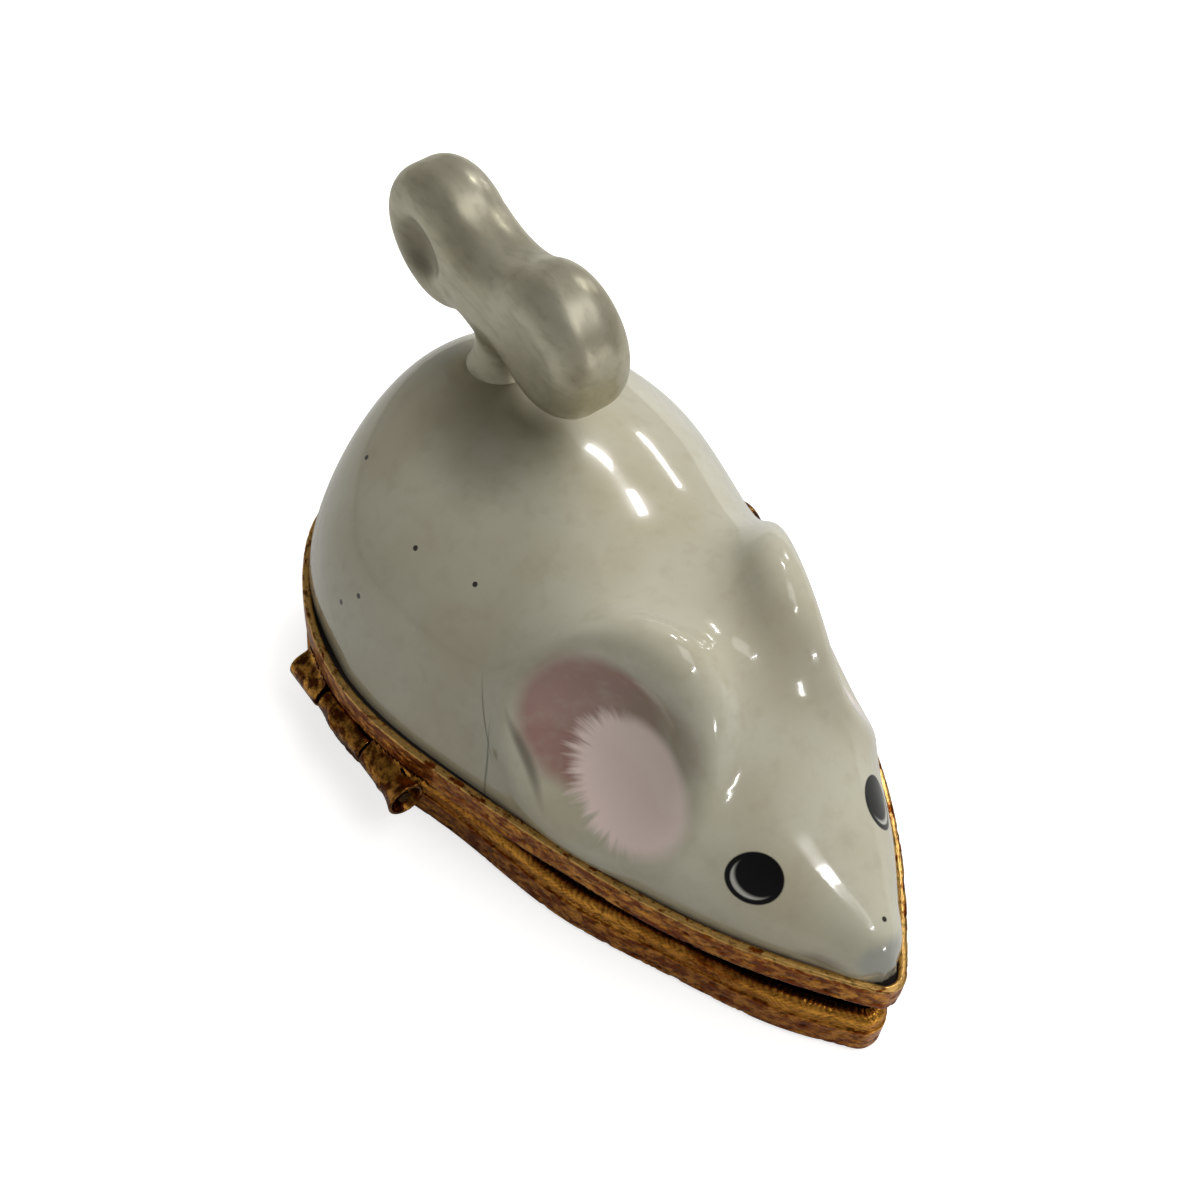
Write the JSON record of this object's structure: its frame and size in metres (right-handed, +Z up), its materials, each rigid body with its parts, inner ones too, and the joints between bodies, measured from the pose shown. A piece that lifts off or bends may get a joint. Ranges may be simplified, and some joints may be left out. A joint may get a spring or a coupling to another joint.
{
  "type": "hinged porcelain trinket box",
  "caption": "Mouse-shaped hinged porcelain trinket box with a key on its back, in gilt brass mounts with a side hinge and a clasp.",
  "frame": {"origin": "middle of the flat resting face, under the middle of the bezels", "axes": "+Y from the nose towards the rump, +X towards the clasp, away from the hinge, +Z up"},
  "size_m": [0.0383, 0.0607, 0.0369],
  "materials": {
    "grey_glazed_porcelain": "clear gloss glaze over grey",
    "silver_lustre_porcelain": "satin silver lustre",
    "antique_gilt_brass": "antiqued gilt, pitted, dark in its recesses",
    "brass_wire": "drawn",
    "setting_cement": "matt, darkened"
  },
  "bodies": {
    "base": {"base_bezel": "antique_gilt_brass", "base_porcelain": "grey_glazed_porcelain", "base_setting_cement": "setting_cement", "hinge_knuckle_middle": "antique_gilt_brass", "hinge_pin": "brass_wire", "clasp_catch": "antique_gilt_brass"},
    "lid": {"lid_porcelain": "grey_glazed_porcelain", "winding_key": "silver_lustre_porcelain", "lid_bezel": "antique_gilt_brass", "lid_setting_cement": "setting_cement", "hinge_knuckle_rear": "antique_gilt_brass", "hinge_knuckle_front": "antique_gilt_brass", "clasp_thumbpiece": "antique_gilt_brass"}
  },
  "joints": [
    {"name": "lid_hinge", "type": "hinge", "parent": "base", "child": "lid", "pos_m": [-0.0182, 0.0097, 0.0049], "axis": [0, -1, 0], "range_deg": [0, 100]}
  ]
}
